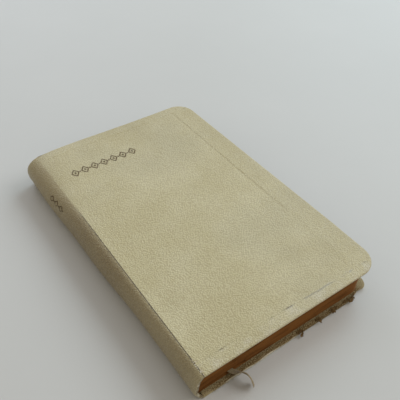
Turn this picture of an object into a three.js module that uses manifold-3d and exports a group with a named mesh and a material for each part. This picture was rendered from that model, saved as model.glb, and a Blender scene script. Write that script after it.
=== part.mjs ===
// A small limp leather-bound bible, lying closed on its back cover.
//
// Millimetres. X runs across the book from the spine (-X) to the fore edge (+X), Y runs
// up the page from the tail (-Y) to the head (+Y), and Z runs up from the back cover to
// the front cover. The origin is the centre of the closed book's footprint, on the
// surface that it lies on.

import * as THREE from 'three';
import * as BufferGeometryUtils from 'three/addons/utils/BufferGeometryUtils.js';
import Module from 'manifold-3d';

// ---- Driving dimensions ---------------------------------------------------------------

const BOOK_HEIGHT = 140; // tail to head, over the covers
const COVER_WIDTH = 85.5; // front joint to fore edge
const SPINE_BULGE = 3.8; // how far the rounded spine stands out past the joints
const BOOK_THICKNESS = 15;

const LEATHER = 0.8;
const BOARD = 0.6; // the limp covers are lined with thin flexible card
const PASTEDOWN = 0.2;
const FLYLEAF = 0.2;
const LEAF = 0.2; // the two leaves that face each other where the book falls open
const LINING = 0.25; // paper hollow inside the spine leather
const MULL = 0.25; // open cloth glued to the backs of the gatherings

const FIT = 0.05; // between glued or pressed layers
const HINGE_CLEARANCE = 0.1; // between the covers and the text block

const FORE_SQUARE = 3.2; // how far the covers stand out past the leaves
const HEAD_SQUARE = 2;
const TURN_IN_FORE = 10.6; // leather folded over inside each cover
const TURN_IN_ENDS = 5.4;
const PASTEDOWN_MARGIN = 4;
const BOARD_JOINT_GAP = 4; // leather left free to flex beside the joint
const COVER_CORNER = 9.5; // radii of the fore-edge corners
const LEAF_CORNER = 7;
const BOARD_CORNER = 2;
const FLYLEAF_TIPPED = 0.4; // how far the free endpapers reach past the joint

const GATHERINGS_PER_HALF = 6;
const GATHERING_FIT = 0.05;

const THREAD_RADIUS = 0.2;
const KETTLE_STITCH = 10; // from each end of the leaves to the first and last stitch
const MULL_SHORT = 6; // the cloth stops this far from each end of the leaves
const RIBBON_WIDTH = 3;
const RIBBON_THICKNESS = 0.25;
const RIBBON_HELD = 6; // from the head edge of the leaves down to where the ribbon is held
const RIBBON_EXIT = 13.6; // from the front joint to where the ribbon leaves the tail edge
const RIBBON_DRIFT = 13; // how far the ribbon slopes away from the spine on its way down
const RIBBON_SWAY = 3; // how far its free end bends sideways, towards the fore edge
const RIBBON_BED = 0.35; // height of the space that the ribbon lies in between the leaves

const OVERCUT = 1; // how far a cutting solid runs past what it cuts
const ARC_STEPS = 10; // straight steps in a quarter of the spine's round
const CORNER_STEPS = 5;
const CURL_STEPS = 30; // along the ribbon's free end
const THREAD_SIDES = 8;

// ---- Places worked out from them ------------------------------------------------------

const SPINE_X = -(COVER_WIDTH + SPINE_BULGE) / 2; // outermost line of the spine
const JOINT_X = SPINE_X + SPINE_BULGE; // line where each cover bends
const FORE_X = -SPINE_X;
const LEAF_FORE_X = FORE_X - FORE_SQUARE;
const LEAF_HEIGHT = BOOK_HEIGHT - 2 * HEAD_SQUARE;
const MULL_LENGTH = LEAF_HEIGHT - 2 * MULL_SHORT;
const MIDDLE_Z = BOOK_THICKNESS / 2;
const TURN_IN = BOARD + FIT; // the folded leather lies level with the board
const COVER_STACK = LEATHER + FIT + BOARD + FIT + PASTEDOWN;
const BACK_LEAVES_Z = COVER_STACK + HINGE_CLEARANCE;
const FRONT_LEAVES_Z = BOOK_THICKNESS - BACK_LEAVES_Z;
const RIBBON_BED_Z = BACK_LEAVES_Z + FLYLEAF;

// The backs of the leaves follow an ellipse inside the spine's leather, lining and cloth.
const SPINE_LAYERS = LEATHER + LINING + MULL + 3 * FIT;
const FOLD_BULGE = SPINE_BULGE - SPINE_LAYERS;
const FOLD_RISE = MIDDLE_Z - SPINE_LAYERS;

// ---- Colours --------------------------------------------------------------------------

const IVORY_LEATHER = { color: 0xd8d2ae, roughness: 0.55 };
const SPINE_LEATHER = { color: 0xd2caa4, roughness: 0.55 };
const GREY_CARD = { color: 0xa59a83, roughness: 0.9 };
const ENDPAPER = { color: 0xe6dcc0, roughness: 0.9 };
const RED_EDGED_PAPER = { color: 0xb06a38, roughness: 0.6 };
const LEAF_PAPER = { color: 0xeadfc4, roughness: 0.9 };
const BROWN_PAPER = { color: 0x9a7a52, roughness: 0.9 };
const WHITE_CLOTH = { color: 0xd9d3c2, roughness: 1 };
const LINEN_THREAD = { color: 0xe9e2cf, roughness: 0.9 };
const BEIGE_SILK = { color: 0xb5a67e, roughness: 0.5 };

function part(name, geometry, finish) {
  const mesh = new THREE.Mesh(
    geometry,
    new THREE.MeshStandardMaterial({ ...finish, metalness: 0 })
  );
  mesh.name = name;
  return mesh;
}

// ---- Flat pieces: an outline in X and Y, given a thickness along Z ---------------------

// A rectangle from left to right, centred on Y, with its fore-edge corners rounded.
function pageOutline(left, right, height, corner) {
  const top = height / 2;
  const shape = new THREE.Shape();
  shape.moveTo(left, -top);
  shape.lineTo(right - corner, -top);
  shape.absarc(right - corner, corner - top, corner, -Math.PI / 2, 0, false);
  shape.absarc(right - corner, top - corner, corner, 0, Math.PI / 2, false);
  shape.lineTo(left, top);
  shape.closePath();
  return shape;
}

function slab(shape, thickness) {
  return new THREE.ExtrudeGeometry(shape, {
    depth: thickness,
    bevelEnabled: false,
    curveSegments: CORNER_STEPS,
  });
}

// The height of a cover layer's lower face. Depth is measured inwards from the outside
// of the cover.
function coverLayerZ(side, depth, thickness) {
  return side === 'front' ? BOOK_THICKNESS - depth - thickness : depth;
}

const manifold = await Module();
manifold.setup();

function toSolid(geometry) {
  const bare = geometry.clone();
  bare.deleteAttribute('normal');
  bare.deleteAttribute('uv');
  const merged = BufferGeometryUtils.mergeVertices(bare);
  return new manifold.Manifold(
    new manifold.Mesh({
      numProp: 3,
      vertProperties: new Float32Array(merged.attributes.position.array),
      triVerts: new Uint32Array(merged.index.array),
    })
  );
}

function toGeometry(solid) {
  const mesh = solid.getMesh();
  const geometry = new THREE.BufferGeometry();
  geometry.setAttribute('position', new THREE.BufferAttribute(mesh.vertProperties, 3));
  geometry.setIndex(new THREE.BufferAttribute(mesh.triVerts, 1));
  geometry.computeVertexNormals();
  return geometry;
}

// The cover's leather: a skin with its three free edges folded over on the inside.
function coverLeather(side) {
  const left = JOINT_X + FIT;
  const outline = pageOutline(left, FORE_X, BOOK_HEIGHT, COVER_CORNER);
  const skin = slab(outline, LEATHER);
  skin.translate(0, 0, coverLayerZ(side, 0, LEATHER));

  const folded = slab(outline, TURN_IN);
  folded.translate(0, 0, coverLayerZ(side, LEATHER, TURN_IN));
  const pocketDepth = TURN_IN + OVERCUT;
  const pocketFore = FORE_X - TURN_IN_FORE;
  const pocketHeight = BOOK_HEIGHT - 2 * TURN_IN_ENDS;
  const pocketOutline = pageOutline(left - OVERCUT, pocketFore, pocketHeight, BOARD_CORNER);
  const pocket = slab(pocketOutline, pocketDepth);
  pocket.translate(0, 0, coverLayerZ(side, LEATHER, pocketDepth));

  const turnIn = toSolid(folded).subtract(toSolid(pocket));
  return part(`${side}_cover_leather`, toGeometry(toSolid(skin).add(turnIn)), IVORY_LEATHER);
}

function coverBoard(side) {
  const outline = pageOutline(
    JOINT_X + BOARD_JOINT_GAP,
    FORE_X - TURN_IN_FORE - 2 * FIT,
    BOOK_HEIGHT - 2 * TURN_IN_ENDS - 4 * FIT,
    BOARD_CORNER
  );
  const board = part(`${side}_cover_board`, slab(outline, BOARD), GREY_CARD);
  board.position.z = coverLayerZ(side, LEATHER + FIT, BOARD);
  return board;
}

function pastedown(side) {
  const outline = pageOutline(
    JOINT_X + 2 * FIT,
    FORE_X - PASTEDOWN_MARGIN,
    BOOK_HEIGHT - 2 * PASTEDOWN_MARGIN,
    LEAF_CORNER
  );
  const sheet = part(`${side}_pastedown`, slab(outline, PASTEDOWN), ENDPAPER);
  sheet.position.z = coverLayerZ(side, LEATHER + FIT + BOARD + FIT, PASTEDOWN);
  return sheet;
}

// ---- The text block -------------------------------------------------------------------

// Where the back of a layer lies. The end of the layer further from the middle decides,
// so that the whole of its back stays inside the cloth.
function foldX(bottom, thickness) {
  const away = Math.max(Math.abs(bottom - MIDDLE_Z), Math.abs(bottom + thickness - MIDDLE_Z));
  return JOINT_X - FOLD_BULGE * Math.sqrt(1 - (away / FOLD_RISE) ** 2);
}

function leafLayer(name, bottom, thickness, finish, left = foldX(bottom, thickness)) {
  const outline = pageOutline(left, LEAF_FORE_X, LEAF_HEIGHT, LEAF_CORNER);
  const layer = part(name, slab(outline, thickness), finish);
  layer.position.z = bottom;
  return layer;
}

const FRONT_FLYLEAF_Z = FRONT_LEAVES_Z - FLYLEAF;
const FLYLEAF_X = JOINT_X - FLYLEAF_TIPPED; // the free endpapers hinge here
const LOWER_LEAF_Z = MIDDLE_Z - FIT / 2 - LEAF;
const UPPER_LEAF_Z = MIDDLE_Z + FIT / 2;

// One half of the gatherings, packed evenly between two heights.
function gatherings(low, high, firstNumber) {
  const pitch = (high - low + GATHERING_FIT) / GATHERINGS_PER_HALF;
  return Array.from({ length: GATHERINGS_PER_HALF }, (_, index) => {
    const name = `gathering_${String(firstNumber + index).padStart(2, '0')}`;
    return leafLayer(name, low + index * pitch, pitch - GATHERING_FIT, RED_EDGED_PAPER);
  });
}

// The thread of the middle gathering shows in the fold where the book falls open. The
// two middle leaves stop beside it.
const THREAD_X = JOINT_X - FOLD_BULGE + THREAD_RADIUS + 2 * FIT;
const MIDDLE_LEAF_X = THREAD_X + THREAD_RADIUS + 2 * FIT;

function sewingThread() {
  const stitched = LEAF_HEIGHT - 2 * KETTLE_STITCH;
  const rod = new THREE.CylinderGeometry(THREAD_RADIUS, THREAD_RADIUS, stitched, THREAD_SIDES);
  const thread = part('sewing_thread', rod, LINEN_THREAD);
  thread.position.set(THREAD_X, 0, MIDDLE_Z);
  return thread;
}

// ---- The spine: a profile in X and Z, run along Y --------------------------------------

// A quarter of an elliptical shell, from the joint to the middle of the spine. The spine
// bends along its middle when the book is opened flat, so each layer has an upper and a
// lower half.
function spineShell(name, half, depth, thickness, length, finish) {
  const outerX = SPINE_BULGE - depth;
  const outerZ = MIDDLE_Z - depth - FIT / 2;
  const joint = half === 'upper' ? Math.PI / 2 : -Math.PI / 2;
  const middle = half === 'upper' ? Math.PI : -Math.PI;
  const clockwise = half === 'lower';
  const profile = new THREE.Shape();
  profile.absellipse(0, 0, outerX, outerZ, joint, middle, clockwise, 0);
  profile.absellipse(
    0, 0, outerX - thickness, outerZ - thickness, middle, joint, !clockwise, 0
  );
  profile.closePath();
  const shell = new THREE.ExtrudeGeometry(profile, {
    depth: length,
    bevelEnabled: false,
    curveSegments: ARC_STEPS,
  });
  shell.rotateX(Math.PI / 2);
  const mesh = part(name, shell, finish);
  const raised = half === 'upper' ? FIT / 2 : -FIT / 2;
  mesh.position.set(JOINT_X - FIT, length / 2, MIDDLE_Z + raised);
  return mesh;
}

function spineHalf(half) {
  const liningDepth = LEATHER + FIT;
  const mullDepth = liningDepth + LINING + FIT;
  return [
    spineShell(`spine_leather_${half}`, half, FIT, LEATHER - FIT, BOOK_HEIGHT, SPINE_LEATHER),
    spineShell(`spine_lining_${half}`, half, liningDepth, LINING, LEAF_HEIGHT, BROWN_PAPER),
    spineShell(`spine_mull_${half}`, half, mullDepth, MULL, MULL_LENGTH, WHITE_CLOTH),
  ];
}

// ---- The ribbon marker ----------------------------------------------------------------

// Distance along the ribbon, measured from the tail edge of the leaves, and the height of
// the ribbon's centre line. It is held at the head of the spine, lies between the last
// leaves, and its free end springs up over the back cover's edge and curls down again.
const RIBBON_LIE_Z = RIBBON_BED_Z + RIBBON_BED / 2;
const RIBBON_ANCHOR = LEAF_HEIGHT - RIBBON_HELD;
const RIBBON_CREST = 3.85; // height of the free end's arch above the table
const RIBBON_ROUTE = [
  [-RIBBON_ANCHOR, RIBBON_LIE_Z],
  [-2, RIBBON_LIE_Z],
  [0, RIBBON_LIE_Z + 0.05],
  [1.5, 2.6],
  [3, 3.3],
  [4.5, RIBBON_CREST - 0.05],
  [5.9, RIBBON_CREST],
  [7.2, 3.3],
  [8.2, 2.3],
  [8.8, 1.1],
];
const RIBBON_SWAY_START = -1;
const RIBBON_SWAY_END = 5.5;
const RIBBON_EXIT_X = JOINT_X + RIBBON_EXIT;
const RIBBON_LEAN = Math.atan2(RIBBON_DRIFT, RIBBON_ANCHOR);

// Shifts a strip that runs along X sideways, further and further over its sway.
function bendSideways(strip) {
  const place = strip.attributes.position;
  for (let index = 0; index < place.count; index += 1) {
    const along = place.getX(index);
    const share = THREE.MathUtils.smoothstep(along, RIBBON_SWAY_START, RIBBON_SWAY_END);
    place.setZ(index, place.getZ(index) - RIBBON_SWAY * share);
  }
}

function ribbonMarker() {
  const points = RIBBON_ROUTE.map(([along, z]) => new THREE.Vector2(along, z));
  const curl = new THREE.SplineCurve(points.slice(1)).getPoints(CURL_STEPS);
  const middle = [points[0], ...curl];
  const side = (sign) => middle.map((point, index) => {
    const before = middle[Math.max(index - 1, 0)];
    const after = middle[Math.min(index + 1, middle.length - 1)];
    const along = after.clone().sub(before).normalize();
    const across = new THREE.Vector2(-along.y, along.x);
    return point.clone().addScaledVector(across, (sign * RIBBON_THICKNESS) / 2);
  });
  const profile = new THREE.Shape([...side(1), ...side(-1).reverse()]);
  const strip = new THREE.ExtrudeGeometry(profile, {
    depth: RIBBON_WIDTH,
    bevelEnabled: false,
  });
  strip.translate(0, 0, -RIBBON_WIDTH / 2);
  bendSideways(strip);
  strip.rotateX(Math.PI / 2);
  strip.rotateZ(-Math.PI / 2 + RIBBON_LEAN);
  const ribbon = part('ribbon_marker', strip, BEIGE_SILK);
  ribbon.position.set(RIBBON_EXIT_X, -LEAF_HEIGHT / 2, 0);
  return ribbon;
}

// ---- The book -------------------------------------------------------------------------

function cover(side) {
  const pieces = new THREE.Group();
  pieces.add(coverLeather(side), coverBoard(side), pastedown(side));
  return pieces;
}

function lowerBlock() {
  const pieces = new THREE.Group();
  pieces.add(leafLayer('back_flyleaf', BACK_LEAVES_Z, FLYLEAF, ENDPAPER, FLYLEAF_X));
  pieces.add(...gatherings(RIBBON_BED_Z + RIBBON_BED, LOWER_LEAF_Z - FIT, 1));
  pieces.add(leafLayer('lower_middle_leaf', LOWER_LEAF_Z, LEAF, LEAF_PAPER, MIDDLE_LEAF_X));
  pieces.add(sewingThread(), ribbonMarker(), ...spineHalf('lower'));
  return pieces;
}

function upperBlock() {
  const pieces = new THREE.Group();
  pieces.add(leafLayer('upper_middle_leaf', UPPER_LEAF_Z, LEAF, LEAF_PAPER, MIDDLE_LEAF_X));
  pieces.add(
    ...gatherings(UPPER_LEAF_Z + LEAF + FIT, FRONT_FLYLEAF_Z - FIT, GATHERINGS_PER_HALF + 1)
  );
  pieces.add(leafLayer('front_flyleaf', FRONT_FLYLEAF_Z, FLYLEAF, ENDPAPER, FLYLEAF_X));
  pieces.add(...spineHalf('upper'));
  return pieces;
}

const group = new THREE.Group();
group.add(cover('back'), lowerBlock(), upperBlock(), cover('front'));

export default group;
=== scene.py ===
"""A small limp leather bible, lying closed on its back cover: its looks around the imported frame.

The pieces are made in millimetres and become metres in make_piece(). X runs from the spine to
the fore edge, Y from the tail to the head and Z from the back cover to the front cover.
"""

import math
import random

import bpy
import numpy as np
from mathutils import Matrix, Vector, noise


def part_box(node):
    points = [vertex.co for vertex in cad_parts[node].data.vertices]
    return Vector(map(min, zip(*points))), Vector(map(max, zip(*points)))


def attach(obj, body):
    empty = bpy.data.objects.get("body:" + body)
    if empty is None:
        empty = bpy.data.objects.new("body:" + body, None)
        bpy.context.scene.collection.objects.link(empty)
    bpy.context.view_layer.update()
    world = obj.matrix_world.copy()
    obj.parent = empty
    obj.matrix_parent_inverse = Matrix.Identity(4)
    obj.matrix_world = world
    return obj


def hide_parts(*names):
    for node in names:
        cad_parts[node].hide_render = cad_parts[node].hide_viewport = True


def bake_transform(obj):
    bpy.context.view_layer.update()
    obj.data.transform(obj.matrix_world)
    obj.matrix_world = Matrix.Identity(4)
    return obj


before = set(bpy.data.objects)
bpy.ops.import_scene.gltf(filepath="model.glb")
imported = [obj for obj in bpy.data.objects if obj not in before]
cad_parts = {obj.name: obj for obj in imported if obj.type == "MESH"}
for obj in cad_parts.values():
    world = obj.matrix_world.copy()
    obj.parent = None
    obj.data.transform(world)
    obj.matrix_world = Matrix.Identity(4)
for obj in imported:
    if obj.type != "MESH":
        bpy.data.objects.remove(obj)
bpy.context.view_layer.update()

MM = 0.001


# ---- Places read from the frame ----


def box_mm(node):
    low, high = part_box(node)
    return np.array(low) / MM, np.array(high) / MM


COVER_LOW, COVER_HIGH = box_mm("front_cover_leather")
BOARD_LOW, BOARD_HIGH = box_mm("front_cover_board")
LEAF_LOW, LEAF_HIGH = box_mm("lower_middle_leaf")
THREAD_LOW, THREAD_HIGH = box_mm("sewing_thread")

FIT = 0.05  # the gap between glued layers, and half the gap round a board's edges
THICK = COVER_HIGH[2]
MIDDLE_Z = THICK / 2
HALF_Y = COVER_HIGH[1]
FORE_X = COVER_HIGH[0]
SPINE_X = -FORE_X
JOINT_X = COVER_LOW[0] - FIT
BULGE = JOINT_X - SPINE_X
COVER_DEEP = COVER_HIGH[2] - COVER_LOW[2]
LEATHER = 0.8  # how thick the leather is
TURN_IN_X = BOARD_HIGH[0] + 2 * FIT
TURN_IN_Y = BOARD_HIGH[1] + 2 * FIT
LEAF_FORE_X = LEAF_HIGH[0]
LEAF_HALF_Y = LEAF_HIGH[1]
COVER_CORNER = 9.5
LEAF_CORNER = 7.0


# ---- Camera and light ----


def add_object(name, data):
    thing = bpy.data.objects.new(name, data)
    bpy.context.scene.collection.objects.link(thing)
    return thing


CAMERA_SPOT = Vector((-0.09475, -0.1445, 0.1836))
CAMERA_AIM = Vector((0.4152, 0.5944, -0.6887))
CAMERA_ROLL = math.radians(0.2)
LENS = 49.4
SENSOR = 36.0


def add_camera():
    data = bpy.data.cameras.new("camera")
    data.lens = LENS
    data.sensor_width = SENSOR
    data.clip_start = 0.005
    camera = add_object("camera", data)
    turn = CAMERA_AIM.to_track_quat("-Z", "Y").to_matrix().to_4x4()
    roll = Matrix.Rotation(CAMERA_ROLL, 4, "Z")
    camera.matrix_world = Matrix.Translation(CAMERA_SPOT) @ turn @ roll
    bpy.context.scene.camera = camera


def add_area_light(name, spot, size, watts, colour):
    """A soft round light, aimed at the book."""
    data = bpy.data.lights.new(name, "AREA")
    data.shape = "DISK"
    data.size = size
    data.energy = watts
    data.color = colour
    light = add_object(name, data)
    light.location = spot
    light.rotation_euler = (-Vector(spot)).to_track_quat("-Z", "Y").to_euler()


# each light's name, place and width in metres, watts and colour
LIGHTS = (
    ("window", (0.80, 0.42, 0.62), 0.70, 4.3, (0.68, 0.88, 1.0)),
    ("far_window", (0.15, 1.0, 0.55), 0.70, 2.35, (0.74, 0.84, 1.0)),
    ("lamp", (2.6, -0.8, 1.9), 2.1, 45.0, (0.97, 0.97, 0.98)),
)
ROOM_COLOUR = (1.0, 0.91, 0.79, 1.0)
ROOM_STRENGTH = 0.455


def add_lights():
    """Cool windows to the right and behind, a large lamp to the front right, and a warm room."""
    for light in LIGHTS:
        add_area_light(*light)
    world = bpy.data.worlds.new("studio")
    world.use_nodes = True
    background = world.node_tree.nodes["Background"]
    background.inputs["Color"].default_value = ROOM_COLOUR
    background.inputs["Strength"].default_value = ROOM_STRENGTH
    bpy.context.scene.world = world


# ---- Material nodes ----


class Nodes:
    """Builds one material's node tree. Places are in millimetres."""

    def __init__(self, name):
        self.material = bpy.data.materials.new(name)
        self.material.use_nodes = True
        self.tree = self.material.node_tree
        self.shader = self.tree.nodes["Principled BSDF"]

    def add(self, kind, **settings):
        node = self.tree.nodes.new(kind)
        for key, value in settings.items():
            setattr(node, key, value)
        return node

    def feed(self, socket, value):
        """Links a socket, or sets it to a number or a colour."""
        if isinstance(value, bpy.types.NodeSocket):
            self.tree.links.new(value, socket)
        elif isinstance(value, tuple) and len(socket.default_value) == 4:
            socket.default_value = (*value, 1.0)
        else:
            socket.default_value = value

    def rest_place(self):
        """Where a point lies in the closed book, whatever the pose."""
        return self.add("ShaderNodeAttribute", attribute_name="rest").outputs["Vector"]

    def object_place(self):
        scale = self.add("ShaderNodeVectorMath", operation="SCALE")
        scale.inputs["Scale"].default_value = 1 / MM
        self.feed(scale.inputs[0], self.add("ShaderNodeTexCoord").outputs["Object"])
        return scale.outputs["Vector"]

    def painted(self, name):
        """A value from 0 to 1 that the mesh carries at its points."""
        return self.add("ShaderNodeAttribute", attribute_name=name).outputs["Fac"]

    def axis(self, place, letter):
        split = self.add("ShaderNodeSeparateXYZ")
        self.feed(split.inputs[0], place)
        return split.outputs[letter]

    def scaled(self, place, factors):
        node = self.add("ShaderNodeVectorMath", operation="MULTIPLY")
        self.feed(node.inputs[0], place)
        self.feed(node.inputs[1], factors)
        return node.outputs["Vector"]

    def noise(self, place, scale, detail=3.0, roughness=0.55):
        node = self.add("ShaderNodeTexNoise")
        self.feed(node.inputs["Vector"], place)
        self.feed(node.inputs["Scale"], scale)
        self.feed(node.inputs["Detail"], detail)
        self.feed(node.inputs["Roughness"], roughness)
        return node.outputs["Fac"]

    def cells(self, place, scale):
        node = self.add("ShaderNodeTexVoronoi")
        self.feed(node.inputs["Vector"], place)
        self.feed(node.inputs["Scale"], scale)
        return node.outputs["Distance"]

    def band(self, value, low, high, out_low=0.0, out_high=1.0):
        node = self.add("ShaderNodeMapRange", interpolation_type="SMOOTHSTEP")
        names = ("Value", "From Min", "From Max", "To Min", "To Max")
        for key, number in zip(names, (value, low, high, out_low, out_high)):
            self.feed(node.inputs[key], number)
        return node.outputs["Result"]

    def maths(self, operation, first, second=0.0):
        node = self.add("ShaderNodeMath", operation=operation)
        self.feed(node.inputs[0], first)
        self.feed(node.inputs[1], second)
        return node.outputs["Value"]

    def times(self, first, second):
        return self.maths("MULTIPLY", first, second)

    def plus(self, first, second):
        return self.maths("ADD", first, second)

    def mix(self, share, first, second):
        """The colours first and second, mixed."""
        node = self.add("ShaderNodeMix", data_type="RGBA")
        self.feed(node.inputs[0], share)
        self.feed(node.inputs[6], first)
        self.feed(node.inputs[7], second)
        return node.outputs[2]

    def bump(self, height, depth, strength=1.0):
        """Depth is in millimetres."""
        node = self.add("ShaderNodeBump")
        self.feed(node.inputs["Height"], height)
        self.feed(node.inputs["Strength"], strength)
        self.feed(node.inputs["Distance"], depth * MM)
        return node.outputs["Normal"]

    def finish(self, colour, roughness, normal, specular=0.5, sheen=0.0, metallic=0.0):
        inputs = self.shader.inputs
        self.feed(inputs["Base Color"], colour)
        self.feed(inputs["Roughness"], roughness)
        self.feed(inputs["Metallic"], metallic)
        self.feed(inputs["Normal"], normal)
        inputs["Specular IOR Level"].default_value = specular
        inputs["Sheen Weight"].default_value = sheen
        return self.material


# ---- Leather ----

IVORY = (0.553, 0.500, 0.290)
IVORY_PALE = (0.622, 0.575, 0.365)
IVORY_BROWN = (0.330, 0.265, 0.145)
HANDLED_GREY = (0.415, 0.390, 0.258)
GRIME = (0.060, 0.042, 0.020)
# pale raw leather, also the colour of painted glints and highlights
RAW_EDGE_AND_HIGHLIGHT = (0.620, 0.585, 0.460)
TANNED = (0.115, 0.071, 0.026)


def wavering(n, place, size, reach):
    """The place, pushed about by a noise so that nothing built on it is regular."""
    wobble = n.add("ShaderNodeTexNoise")
    n.feed(wobble.inputs["Vector"], place)
    n.feed(wobble.inputs["Scale"], 1 / size)
    moved = n.add("ShaderNodeVectorMath", operation="MULTIPLY_ADD")
    n.feed(moved.inputs[0], wobble.outputs["Color"])
    n.feed(moved.inputs[1], (reach, reach, reach))
    n.feed(moved.inputs[2], place)
    return moved.outputs["Vector"]


def leather_colour(n, place, pebbles, fine):
    broad = n.noise(place, 0.035, 4.0, 0.6)
    blotch = n.noise(place, 0.022, 3.0, 0.5)
    specks = n.noise(place, 0.9, 2.0, 0.5)
    colour = n.mix(n.band(broad, 0.35, 0.68), IVORY, IVORY_PALE)
    colour = n.mix(n.times(n.band(blotch, 0.50, 0.72), 0.36), colour, HANDLED_GREY)
    colour = n.mix(n.times(n.band(pebbles, 0.35, 0.80), 0.42), colour, IVORY_BROWN)
    colour = n.mix(n.times(n.band(specks, 0.74, 0.80), 0.60), colour, GRIME)
    colour = n.mix(n.times(n.painted("yellow"), 0.75), colour, IVORY_BROWN)
    # the tan also carries painted shade at the front cover's shoulder near the head
    tanned = n.times(n.painted("tanned"), n.band(fine, 0.42, 0.58, 0.40, 1.60))
    colour = n.mix(tanned, colour, TANNED)
    # on the leather this value is dirt only; on the stained edges it is painted shade
    dirt = n.painted("dirt")
    broken = n.band(n.plus(n.times(fine, 0.8), dirt), 0.62, 1.05)
    colour = n.mix(n.times(broken, n.band(dirt, 0.02, 0.40)), colour, GRIME)
    # pale raw leather at worn edges, and painted glints and painted highlights
    bare_and_highlight = n.band(n.plus(n.times(fine, 0.7), n.painted("raw")), 0.70, 1.0)
    return n.mix(bare_and_highlight, colour, RAW_EDGE_AND_HIGHLIGHT)


def leather_material(name, specular, dulled):
    """Ivory leather with a pebble grain, yellowed, handled grey in places and dirty in its creases, with
    the painted shade, glints and highlights that its mesh carries.
    """
    n = Nodes(name)
    place = n.rest_place()
    pebbles = n.cells(wavering(n, place, 1.6, 0.8), 1.7)
    fine = n.noise(place, 2.8, 4.0, 0.6)
    creases = n.noise(n.scaled(place, (1.0, 0.35, 1.0)), 0.55, 3.0, 0.6)
    grain = n.plus(n.times(n.band(pebbles, 0.05, 0.75, 1.0, 0.0), 0.8), n.times(fine, 0.6))
    strong = n.band(n.painted("grain"), 0.0, 1.0, 0.35, 1.0)
    height = n.plus(n.times(grain, strong), n.times(creases, 0.5))
    rough = n.band(fine, 0.3, 0.7, 0.40 + dulled, 0.54 + dulled)
    rough = n.plus(rough, n.times(n.painted("rubbed"), -0.10))
    colour = leather_colour(n, place, pebbles, fine)
    return n.finish(colour, rough, n.bump(height, 0.19, 1.0), specular, 0.08)


# ---- Paper, card, cloth, thread and ribbon ----

EDGE_RED = (0.215, 0.088, 0.022)
EDGE_RED_PALE = (0.270, 0.118, 0.033)
EDGE_RED_DARK = (0.085, 0.030, 0.007)
EDGE_RUBBED = (0.400, 0.285, 0.165)
PAPER = (0.720, 0.660, 0.500)
PAPER_TANNED = (0.560, 0.450, 0.270)
FOXING = (0.330, 0.190, 0.080)
PRINT_GREY = (0.200, 0.185, 0.160)
CARD_DARK = (0.30, 0.26, 0.19)
CARD_PALE = (0.42, 0.37, 0.28)
CARD_FLECK = (0.14, 0.11, 0.08)
BROWN_PAPER_DARK = (0.24, 0.145, 0.065)
BROWN_PAPER_PALE = (0.34, 0.225, 0.12)
MULL_GAP = (0.20, 0.16, 0.10)
MULL_THREAD = (0.62, 0.58, 0.47)
MULL_GLUE = (0.36, 0.27, 0.14)
MULL_PITCH = 1.6
LINEN_DARK = (0.45, 0.38, 0.26)
LINEN_PALE = (0.74, 0.69, 0.56)
SILK_DARK = (0.25, 0.190, 0.092)
SILK_PALE = (0.40, 0.320, 0.180)
SILK_SOIL = (0.14, 0.105, 0.050)
GOLD_BROWN = (0.070, 0.047, 0.020)
GOLD_BRIGHT = (0.200, 0.140, 0.062)
GOLD_WORN_OFF = (0.42, 0.365, 0.215)
FLOOR_GREY = (0.570, 0.582, 0.572)
FLOOR_PALE = (0.608, 0.617, 0.607)


def stained_edge_material():
    """The leaves' cut edges, stained red-brown: fine lines along the leaves, rubbed pale at the corners,
    and darkened by painted shade low down and in the gap at the tail.
    """
    n = Nodes("stained_edge")
    place = n.rest_place()
    leaves = n.noise(n.scaled(place, (0.012, 0.012, 5.0)), 1.0, 4.0, 0.7)
    patches = n.noise(n.scaled(place, (0.06, 0.06, 0.35)), 1.0, 3.0, 0.6)
    colour = n.mix(n.band(leaves, 0.38, 0.66), EDGE_RED, EDGE_RED_PALE)
    colour = n.mix(n.times(n.band(patches, 0.42, 0.70), 0.65), colour, EDGE_RED_DARK)
    # painted shade from the block, mixed towards the dark red
    colour = n.mix(n.times(n.painted("dirt"), 0.8), colour, EDGE_RED_DARK)
    rubbed = n.times(n.painted("rubbed"), n.band(leaves, 0.30, 0.55, 0.5, 1.0))
    colour = n.mix(rubbed, colour, EDGE_RUBBED)
    return n.finish(colour, 0.75, n.bump(leaves, 0.05, 0.5), 0.05)


def paper_colour(n, place, tanned):
    """Old paper: mottled, tanned towards its margins and a little foxed."""
    mottle = n.noise(place, 0.05, 4.0, 0.6)
    spots = n.noise(place, 0.28, 2.0, 0.4)
    colour = n.mix(n.times(n.band(mottle, 0.35, 0.70), tanned), PAPER, PAPER_TANNED)
    colour = n.mix(n.times(n.painted("yellow"), 0.7), colour, PAPER_TANNED)
    return n.mix(n.times(n.band(spots, 0.72, 0.84), 0.45), colour, FOXING)


def paper_finish(n, place, colour, roughness):
    fibres = n.noise(place, 3.0, 5.0, 0.7)
    return n.finish(colour, roughness, n.bump(fibres, 0.03, 0.5), 0.25)


def paper_material(name, tanned):
    n = Nodes(name)
    place = n.rest_place()
    return paper_finish(n, place, paper_colour(n, place, tanned), 0.85)


LINE_PITCH = 2.6
COLUMN_HALF_WIDTH = 16.5
COLUMN_MIDDLE_X = (LEAF_LOW[0] + LEAF_HIGH[0]) / 2
COLUMN_OFFSET = 18.8
TEXT_HALF_HEIGHT = 57.0


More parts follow.
